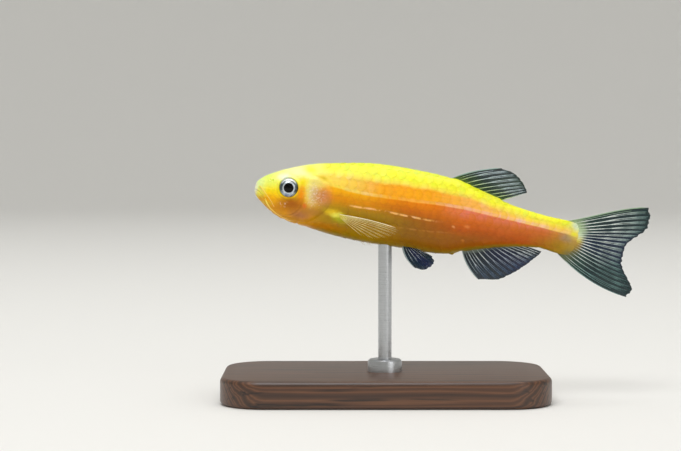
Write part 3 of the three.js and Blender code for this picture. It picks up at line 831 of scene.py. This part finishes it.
def rayPieces(sizes, ray, seed):
    # each ray and its forks, as (w at start, w at end, v at start, v at end, thickness)
    last = sizes["rays"] - 1
    w, step, root = ray / last, 1 / last, fins["rootSink"]
    tip = finEdge(sizes, w)
    if ray in (0, last):
        return [(w, w, root, tip, sizes["firstRay"] if ray == 0 else 1.0)]
    if ray in sizes.get("between", ()):
        return [(w, w, root, fins["betweenReach"] * tip, fins["betweenSize"])]
    draw = random.Random(seed * 100 + ray)
    twice = sizes["forks"] > 1
    (start1, vary1, lap1, spread1, size1), (start2, vary2, lap2, spread2, size2) = fins["forks"]
    first = (start1 + vary1 * draw.random()) * tip
    second = (start2 + vary2 * draw.random()) * tip if twice else tip
    pieces = [(w, w, root, first + lap1, 1.0)]
    for half in (-1, 1):
        w1 = w + half * step * spread1
        pieces.append((w, w1, first - lap1, second + (lap2 if twice else 0), size1))
        for quarter in (-1, 1) if twice else ():
            w2 = w1 + quarter * step * spread2
            pieces.append((w1, w2, second - lap2, tip - fins["tipVaries"] * draw.random(), size2))
    return pieces


def makeFin(name, node, surface, sizes, webMaterial, rayMaterial, slot, seed):
    bm, spread = newMesh("spread")
    bmesh.ops.create_grid(bm, x_segments=sizes["columns"], y_segments=sizes["rows"], size=0.5)
    gaps = sizes["rays"] - 1
    for vert in bm.verts:
        w, out = vert.co.x + 0.5, vert.co.y + 0.5
        scallop = fins["scallop"] * abs(math.sin(math.pi * w * gaps))
        ragged = fins["ragged"] * noise.noise(Vector((w * gaps * fins["raggedPitch"], seed, 0)))
        v = blend(fins["rootSink"], finEdge(sizes, w) - scallop + ragged, out)
        vert[spread] = Vector((w, max(v, 0), 0))
        vert.co = finPoint(surface, sizes, w, v)
    bmesh.ops.recalc_face_normals(bm, faces=bm.faces)
    before = centreOf(bm)
    bmesh.ops.solidify(bm, geom=bm.faces[:] + bm.edges[:] + bm.verts[:], thickness=fins["webThickness"])
    # rays stand out on both faces alike
    bmesh.ops.translate(bm, vec=before - centreOf(bm), verts=bm.verts)
    newPiece(name + "Web", bm, webMaterial, slot, (node,))

    bm, spread = newMesh("spread")
    for ray in [*range(sizes["rays"]), *sizes.get("between", ())]:
        for w0, w1, v0, v1, size in rayPieces(sizes, ray, seed):
            rear = blend(1, sizes.get("rearSize", 1), smoothStep(*fins["rearRays"], w0))

            def pathAt(t):
                return finPoint(surface, sizes, blend(w0, w1, smoothStep(0, 0.5, t)), blend(v0, v1, t))

            def radiusAt(t):
                swell = blend(fins["rootSize"], 1, smoothStep(*fins["rootSwell"], blend(v0, v1, t)))
                return sizes["rayRadius"] * size * swell * blend(1, fins["endSize"], t) * rear

            def markAt(t):
                return Vector((w0, blend(v0, v1, t), (pathAt(t) - surface(w0, 0)).length))
            tubeAlong(bm, spread, pathAt, radiusAt, 6, 12 if v0 < 0 else 8, markAt)
    newPiece(name + "Rays", bm, rayMaterial, slot)


def addFlesh(color, w, v, flesh):
    # the flesh's paints run a little way out over web and rays
    if not flesh:
        return color
    ragged = timesPlus(noiseOn(objectPlace(w.id_data), 1800), 0.06, v)
    return mixPaint(softMask(ragged, 0.22, 0.05), color, paintRamp(w, flesh))


def makeWebMaterial(name, root, inner, outer, middle, alphaRoot, alphaEdge, rearRoot=None, reach=0.13,
                    flesh=None):
    material, tree, shader = newMaterial(name, Roughness=0.4, Specular_IOR_Level=0.2, Coat_Weight=0.1,
                                         Coat_Roughness=0.2)
    w, v, _ = axes(attribute(tree, "spread"))
    where = objectPlace(tree)
    shift = timesPlus(minus(noiseOn(where, 500, 3), 0.5), 0.5, v)
    color = mixPaint(softMask(shift, 0.0, 0.45), inner, outer)
    centre = softMask(apart(w, 0.5), 0.32, 0.05)
    color = overlay(color, centre, 0.8, middle)
    pale = times(softMask(v, reach, 0.0), timesPlus(centre, -0.6, 0.85))
    color = mixPaint(pale, color, mixPaint(softMask(w, 0.42, 0.6), root, rearRoot or root))
    color = addFlesh(color, w, v, flesh)
    color = overlay(color, softMask(noiseOn(where, 3500), 0.55, 0.7), 0.35, "0C1418")
    feed(shader, Base_Color=color,
         Alpha=timesPlus(softMask(shift, 0.1, 0.9), alphaEdge - alphaRoot, alphaRoot))
    return material


def makeRayMaterial(name, lead, root, inner, outer, joint, alphaRoot=1.0, alphaEdge=1.0, rearRoot=None,
                    dimming=(5.5, 4.0, 9.5), flesh=None):
    material, tree, shader = newMaterial(name, Roughness=0.35, Specular_IOR_Level=0.4, Coat_Weight=0.2)
    w, v, out = axes(attribute(tree, "spread"))
    across, near, far = dimming  # rays dim from near to far, towards the rear sooner where across is above 0
    color = mixPaint(softMask(timesPlus(w, across, out), near, far), inner, outer)
    rootPaint = mixPaint(softMask(w, 0.42, 0.6), root, rearRoot or root)
    color = mixPaint(softMask(v, 0.2, 0.0), color, rootPaint)
    color = overlay(color, softMask(apart(fraction(out, 2.8), 0.5), 0.38, 0.5), 0.3, joint)
    color = overlay(color, softMask(noiseOn(objectPlace(tree), 700), 0.45, 0.62), 0.45, joint)
    first = softMask(w, 0.06, 0.02)
    color = addFlesh(mixPaint(first, color, lead), w, v, flesh)
    alpha = timesPlus(softMask(v, 0.3, 1.0), alphaEdge - alphaRoot, alphaRoot)
    feed(shader, Base_Color=color, Alpha=calc("MAXIMUM", alpha, times(first, 0.95)))
    return material


tailFlesh = [(0, "90A878"), (0.25, "C0D4A4"), (0.36, "D4E4C0"), (0.45, "E4E098"), (0.52, "DCC850"),
             (0.6, "B8943C"), (0.72, "A08434"), (0.85, "706C40"), (1, "5C6444")]
tailPaints = (
    makeWebMaterial("caudalWeb", "A2BC98", "2C4A3C", "0E2C2E", "0A2040", 0.9, 0.84, "5E6C50", 0.24,
                    tailFlesh),
    makeRayMaterial("caudalRays", "8CA888", "B8CCAC", "F6FCF6", "749894", "3C5A58", rearRoot="7C8C80",
                    flesh=tailFlesh))
backPaints = (
    makeWebMaterial("dorsalWeb", "5C7828", "36541C", "102C2C", "1A3822", 0.86, 0.78),
    makeRayMaterial("dorsalRays", "8CA8A0", "A0B458", "C8D8A4", "C8D8E0", "34543C", dimming=(0, 0.6, 2.6)))
bellyPaints = (
    makeWebMaterial("analWeb", "808C7C", "14242A", "0E2636", "0C1A44", 0.88, 0.8),
    makeRayMaterial("analRays", "98A8A8", "A0ACA8", "DCE4E4", "50647C", "34485C", dimming=(-1, 0.7, 3.0)))
palePaints = (
    makeWebMaterial("paleFinWeb", "D8D040", "D8B848", "C8A850", "D0B050", 0.06, 0.02),
    makeRayMaterial("paleFinRays", "FFF6C8", "F0E060", "F8E8A8", "ECD48C", "C89C48", 0.95, 0.55))
dorsalSurface = fan((21.3, 0, 4.1), (26.9, 0, 2.6),
                    [(26.9, 0, 6.2), (27.75, 0, 5.75), (28.7, 0, 5), (29.45, 0, 4)], (-0.25, 0, 0.2), 0.85)
analSurface = fan((23.6, 0, -3.7), (30.4, 0, -1.9),
                  [(26.2, 0, -6.7), (28.1, 0, -6.15), (29.5, 0, -5.25), (30.8, 0, -4.05), (32.35, 0, -2.2)],
                  (-0.25, 0, -0.2), 0.85)
finList = [
    ("caudal", "", caudalSurface, tailPaints, "fin"),
    ("dorsal", "", dorsalSurface, backPaints, "fin"),
    ("anal", "", analSurface, bellyPaints, "fin"),
    ("pectoral", "Left", pectoralSurface(-1), palePaints, "pale_fin"),
    ("pectoral", "Right", pectoralSurface(1), palePaints, "pale_fin"),
    ("pelvic", "Left", pelvicSurface(-1), bellyPaints, "fin"),
    ("pelvic", "Right", pelvicSurface(1), bellyPaints, "fin"),
]
for number, (kind, hand, surface, materials, slot) in enumerate(finList, 1):
    node = kind + "_fin" + ("_" + hand.lower() if hand else "")
    makeFin(kind + hand, node, surface, fins[kind], *materials, slot, number)
print("fins done")

# Barbels: two short pairs at the mouth
barbels = {
    "root": 0.1,
    "tip": 0.025,
    "thinning": 0.8,
    "ramp": [(0.2, "F4DC50"), (0.6, "F0C440"), (1, "ECC064")],
    "rostral": [(0.35, 0.1, 0.5), (0.7, 1.5, 0.35), (1.25, 2.05, -0.2), (1.9, 2.3, -0.9), (2.4, 2.4, -1.6)],
    "maxillary": [(1.3, 0.4, -0.7), (1.4, 1.6, -1.05), (2, 2.1, -1.8), (3.1, 2.15, -2.5), (4.4, 2.05, -2.95)],
}


def makeBarbel(name, node, key, side):
    path = [Vector((x, y * side, z)) for x, y, z in barbels[key]]
    bm, layer = newMesh("spread")
    tubeAlong(bm, layer, lambda t: splinePoint(path, t),
              lambda t: blend(barbels["root"], barbels["tip"], t ** barbels["thinning"]),
              14, 48, lambda t: Vector((t, 0, 0)))
    newPiece(name, bm, barbelMaterial, "barbel", (node,))


barbelMaterial, barbelTree, barbelShader = newMaterial("barbelSkin", Roughness=0.4, Coat_Weight=0.2)
feed(barbelShader, Base_Color=paintRamp(axes(attribute(barbelTree, "spread"))[0], barbels["ramp"]))
for key in ("rostral", "maxillary"):
    for hand, side in (("Left", -1), ("Right", 1)):
        makeBarbel(key + "Barbel" + hand, f"barbel_{key}_{hand.lower()}", key, side)
print("barbels done")

# Scales: rows of small curved plates, each free at its rear edge
scales = {
    "pitch": 1.02,
    "pitchTail": 0.86,
    "shrink": (20, 34),
    "from": 8.9,
    "to": 34.6,
    "ahead": 3.5,
    "rows": 8,
    # how far the front edge runs forward over back and belly, from and to which distance off the middle
    "backEdge": (2.6, 1.5, 4.5),
    "bellyEdge": (1.6, 2.5, 5),
    "bellySetback": 0.2,
    "overlap": 1.55,
    "rootPlace": 0.62,
    "rootWidth": 0.8,
    "roundness": 0.45,
    "heightShare": 0.6,
    "rootLift": -0.05,
    "edgeLift": 0.03,
    "arch": 0.012,
    "skirtDrop": 0.01,
    "cells": 6,
    "girthSteps": 40,
    "patch": 0.5,
    "bump": (0.2, 0.00004),
}


@functools.lru_cache(maxsize=None)
def girthAt(x):
    # length of the skin from the side's middle up to the back and down to the belly, with its angles
    sides = []
    for end in (0, math.pi):
        arc, last, rows = 0.0, bodyAt(x, math.pi / 2), [(0.0, math.pi / 2)]
        for i in range(1, scales["girthSteps"] + 1):
            angle = blend(math.pi / 2, end, i / scales["girthSteps"])
            here = bodyAt(x, angle)
            arc += (here - last).length
            last = here
            rows.append((arc, angle))
        sides.append(rows)
    return sides


def angleAt(x, arc):
    up, down = girthAt(round(x, 2))
    rows = up if arc > 0 else down
    arc = abs(arc)
    i = min(max(bisect.bisect_left(rows, (arc, 0)), 1), len(rows) - 1)
    (a0, g0), (a1, g1) = rows[i - 1], rows[i]
    return blend(g0, g1, (arc - a0) / (a1 - a0))


def scalePitch(x):
    return blend(scales["pitch"], scales["pitchTail"], smoothStep(*scales["shrink"], x))


def shoulderAt(arc):
    forward, low, high = scales["backEdge"] if arc > 0 else scales["bellyEdge"]
    setback = 0 if arc > 0 else scales["bellySetback"]
    return scales["from"] + setback - forward * smoothStep(low, high, abs(arc))


def addScale(bm, layers, tone, bake, x, arc, side, shade):
    pitch = scalePitch(x)
    cells = scales["cells"]
    middle = angleAt(x, arc) * side
    made = bmesh.ops.create_grid(bm, x_segments=cells, y_segments=cells, size=0.5)
    top = girthAt(round(x, 2))[0][-1][0]
    for vert in made["verts"]:
        i = round((vert.co.x + 0.5) * cells)
        j = round((vert.co.y + 0.5) * cells)
        skirt = i in (0, cells) or j in (0, cells)
        out = min(max(i - 1, 0), cells - 2) / (cells - 2)
        across = min(max(j - 1, 0), cells - 2) / (cells - 2) * 2 - 1
        # the rear edge is round, the hidden root narrower
        back = out * math.sqrt(1 - scales["roundness"] * across ** 2)
        width = across * blend(scales["rootWidth"], 1, min(out * 2, 1))
        here = x + pitch * scales["overlap"] * (back - scales["rootPlace"])
        arcHere = arc + pitch * scales["heightShare"] * width
        overTop = arcHere > top
        angle = angleAt(here, 2 * top - arcHere if overTop else arcHere)
        angle = (-angle if overTop else angle) * side
        lift = blend(scales["rootLift"], scales["edgeLift"], out) + scales["arch"] * (1 - across ** 2)
        if skirt:
            lift = scales["rootLift"] - scales["skirtDrop"]
        layVert(vert, layers, here, angle, lift)
        vert[tone] = Vector((shade, out, across))
        patchX = (x + scales["patch"] * (here - x)) / markings["alongSpan"]
        patchY = 0.5 + (middle + scales["patch"] * (angle - middle)) / (2 * math.pi)
        for loop in vert.link_loops:
            loop[bake].uv = (patchX, patchY)


def makeScales(name, side):
    draw = random.Random(20 + side)
    bm = bmesh.new()
    layers = newLayers(bm)
    tone = bm.verts.layers.float_vector.new("tone")
    bake = bm.loops.layers.uv.new("OFBake")
    count = 0
    for row in range(-scales["rows"], scales["rows"] + 1):
        x = scales["from"] - scales["ahead"] + (0.5 if row % 2 else 0) * scales["pitch"]
        while x < scales["to"]:
            pitch = scalePitch(x)
            arc = row * pitch
            up, down = girthAt(round(x, 2))
            room = up[-1][0] if arc > 0 else down[-1][0]
            if x > shoulderAt(arc) and abs(arc) < room - 0.1 * pitch:
                addScale(bm, layers, tone, bake, x, arc, side, draw.random())
                count += 1
            x += pitch
    newPiece(name, bm, scaleMaterial, "flank_skin", sharpAngle=50)
    print(name, count, "scales")


def makeScaleMaterial():
    # every scale is a little different, and warmer at its free edge
    material, tree, shader, color = newFlesh(
        "fishScales", scales["bump"], Roughness=0.34, Coat_Weight=0.08, Coat_Roughness=0.1,
        Subsurface_Weight=0.12, Subsurface_Scale=0.0004)
    shade, out, _ = axes(attribute(tree, "tone"))
    onBack = softMask(axes(attribute(tree, "place"))[2], 0.74, 0.86)
    brightness = timesPlus(shade, 0.07, 0.95)
    edge = softMask(out, 0.78, 1.0)
    greener = times(fraction(shade, 23.0), -0.08)
    red = timesPlus(greener, onBack, timesPlus(edge, -0.02, brightness))
    green = timesPlus(edge, -0.08, brightness)
    blue = times(timesPlus(fraction(shade, 7.3), 0.9, 0.5), timesPlus(edge, -0.35, 1.0))
    toned = addNode(tree, "CombineColor", {0: red, 1: green, 2: blue}).outputs[0]
    feed(shader, Base_Color=mixPaint(1.0, color, toned, "MULTIPLY"))
    return material


scaleMaterial = makeScaleMaterial()
makeScales("scalesLeft", -1)
makeScales("scalesRight", 1)

# Display stand: walnut base, steel rod and collar
stand = {
    "length": 36,
    "width": 20,
    "height": 3,
    # size and steps of the rounding at its upright edges, then at the others
    "corner": (5, 16),
    "bevel": (0.5, 5),
    "rodRadius": 0.75,
    "rodFrom": 1.2,
    "rodTop": 17.3,
    "collar": [(0.75, 2.9), (1.9, 2.9), (1.9, 4.0), (1.84, 4.2), (1.68, 4.32), (1.5, 4.36), (0.95, 4.4),
               (0.75, 4.4)],
    "wood": [(0.0, "3A2417"), (0.45, "553520"), (0.75, "6B452B"), (1, "4A2D1B")],
    "pores": "22140C",
    "steel": ("9EA1A5", "D2D4D6"),
}


def inMetres(point):
    return point * mm


def makeWood():
    material, tree, shader = newMaterial("walnut", Roughness=0.42, Coat_Weight=0.25, Coat_Roughness=0.25)
    where = objectPlace(tree)
    turned = addNode(tree, "Mapping", {"Vector": where, "Location": (0, 0.011, 0.028), "Scale": (0.35, 9, 9)})
    rings = addNode(tree, "TexWave", {"Vector": turned.outputs[0], "Scale": 60, "Distortion": 3.2,
                                      "Detail": 3, "Detail Scale": 1.6},
                    wave_type="RINGS", rings_direction="X")
    pores = noiseOn(stretch(where, (60, 1400, 1400)), 1.0, 3, 0.7)
    color = paintRamp(rings.outputs["Fac"], stand["wood"])
    feed(shader, Base_Color=mixPaint(softMask(pores, 0.52, 0.7), color, stand["pores"]))
    setBump(shader, pores, 0.25, 0.00005)
    return material


def makeSteel():
    material, tree, shader = newMaterial("brushedSteel", Metallic=1.0, Roughness=0.3)
    lines = noiseOn(stretch(objectPlace(tree), (400, 400, 30000)), 1.0, 3, 0.6)
    feed(shader, Base_Color=mixPaint(lines, *stand["steel"]), Roughness=timesPlus(lines, 0.2, 0.2))
    setBump(shader, lines, 0.15, 0.00002)
    return material


def makeStand():
    bm = bmesh.new()
    bmesh.ops.create_cube(bm, size=1)
    bmesh.ops.scale(bm, vec=(stand["length"], stand["width"], stand["height"]), verts=bm.verts)
    bmesh.ops.translate(bm, vec=(0, 0, stand["height"] / 2), verts=bm.verts)
    for key in ("corner", "bevel"):
        offset, steps = stand[key]
        edges = [edge for edge in bm.edges
                 if (abs(edge.verts[0].co.z - edge.verts[1].co.z) > 1e-4) == (key == "corner")]
        bmesh.ops.bevel(bm, geom=edges, offset=offset, affect="EDGES", segments=steps, profile=0.5,
                        material=-1)
    newPiece("standBaseWood", bm, makeWood(), "stand_wood", ("stand_base",), inMetres, 35)

    steel = makeSteel()
    bm = bmesh.new()
    middle = (stand["rodFrom"] + stand["rodTop"]) / 2
    bmesh.ops.create_cone(bm, cap_ends=True, segments=64, radius1=stand["rodRadius"],
                          radius2=stand["rodRadius"], depth=stand["rodTop"] - stand["rodFrom"],
                          matrix=Matrix.Translation((0, 0, middle)))
    newPiece("standRodSteel", bm, steel, "stand_steel", ("stand_rod",), inMetres, 35)

    bm = bmesh.new()
    spinProfile(bm, stand["collar"], 72, closed=True)
    newPiece("standCollarSteel", bm, steel, "stand_steel", ("stand_collar",), inMetres, 35)


makeStand()
print("stand done")

# Studio: pale bowl for floor and backdrop, soft lights, camera at the photograph's angle
studio = {
    "floorRadius": 0.6,
    "bend": 0.45,
    "bendSteps": 16,
    "wallTop": 1.1,
    "paint": "E9E8E4",
    "worldLight": 0.45,
    "lights": [
        {"name": "keyLight", "place": (-0.12, -0.28, 0.55), "size": 0.4, "power": 2.0},
        {"name": "topLight", "place": (0.05, 0.08, 0.65), "size": 0.5, "power": 1.3},
        {"name": "fillLight", "place": (0.4, -0.45, 0.2), "size": 0.4, "power": 0.5},
    ],
    "aim": (-4.93, 0, 19.16),
    "frameWidth": 75.44,
    "lens": 100,
    "sensor": 36,
    "elevation": 2.5,
}


def makeStudio():
    bm = bmesh.new()
    points = [(0.0, 0.0), (studio["floorRadius"], 0.0)]
    for i in range(1, studio["bendSteps"] + 1):
        angle = math.pi / 2 * i / studio["bendSteps"]
        points.append((studio["floorRadius"] + studio["bend"] * math.sin(angle),
                       studio["bend"] * (1 - math.cos(angle))))
    points.append((studio["floorRadius"] + studio["bend"], studio["wallTop"]))
    spinProfile(bm, points, 96)
    bmesh.ops.remove_doubles(bm, verts=bm.verts, dist=1e-6)
    bmesh.ops.recalc_face_normals(bm, faces=bm.faces)
    bmesh.ops.reverse_faces(bm, faces=bm.faces)
    paper = newMaterial("studioPaper", Roughness=0.85, Base_Color=paint(studio["paint"]))[0]
    newObject("studioBowl", bm, paper)

    world = bpy.data.worlds.new("softWorld")
    world.use_nodes = True
    world.node_tree.nodes["Background"].inputs["Color"].default_value = (1, 1, 1, 1)
    world.node_tree.nodes["Background"].inputs["Strength"].default_value = studio["worldLight"]
    bpy.context.scene.world = world
    aim = Vector(studio["aim"]) * mm
    for light in studio["lights"]:
        lamp = bpy.data.lights.new(light["name"], "AREA")
        lamp.shape = "DISK"
        lamp.size = light["size"]
        lamp.energy = light["power"]
        holder = linkObject(light["name"], lamp)
        holder.location = light["place"]
        holder.rotation_euler = (aim - holder.location).to_track_quat("-Z", "Y").to_euler()

    camera = bpy.data.cameras.new("photoCamera")
    camera.lens = studio["lens"]
    camera.sensor_width = studio["sensor"]
    camera.clip_start = 0.01
    camera.clip_end = 10
    holder = linkObject("photoCamera", camera)
    distance = studio["frameWidth"] / studio["sensor"] * studio["lens"] * mm
    rise = math.radians(studio["elevation"])
    holder.location = aim + Vector((0, -math.cos(rise), math.sin(rise))) * distance
    holder.rotation_euler = (math.pi / 2 - rise, 0, 0)
    bpy.context.scene.camera = holder
    bpy.context.scene.view_settings.view_transform = "Standard"


makeStudio()
print("studio done")
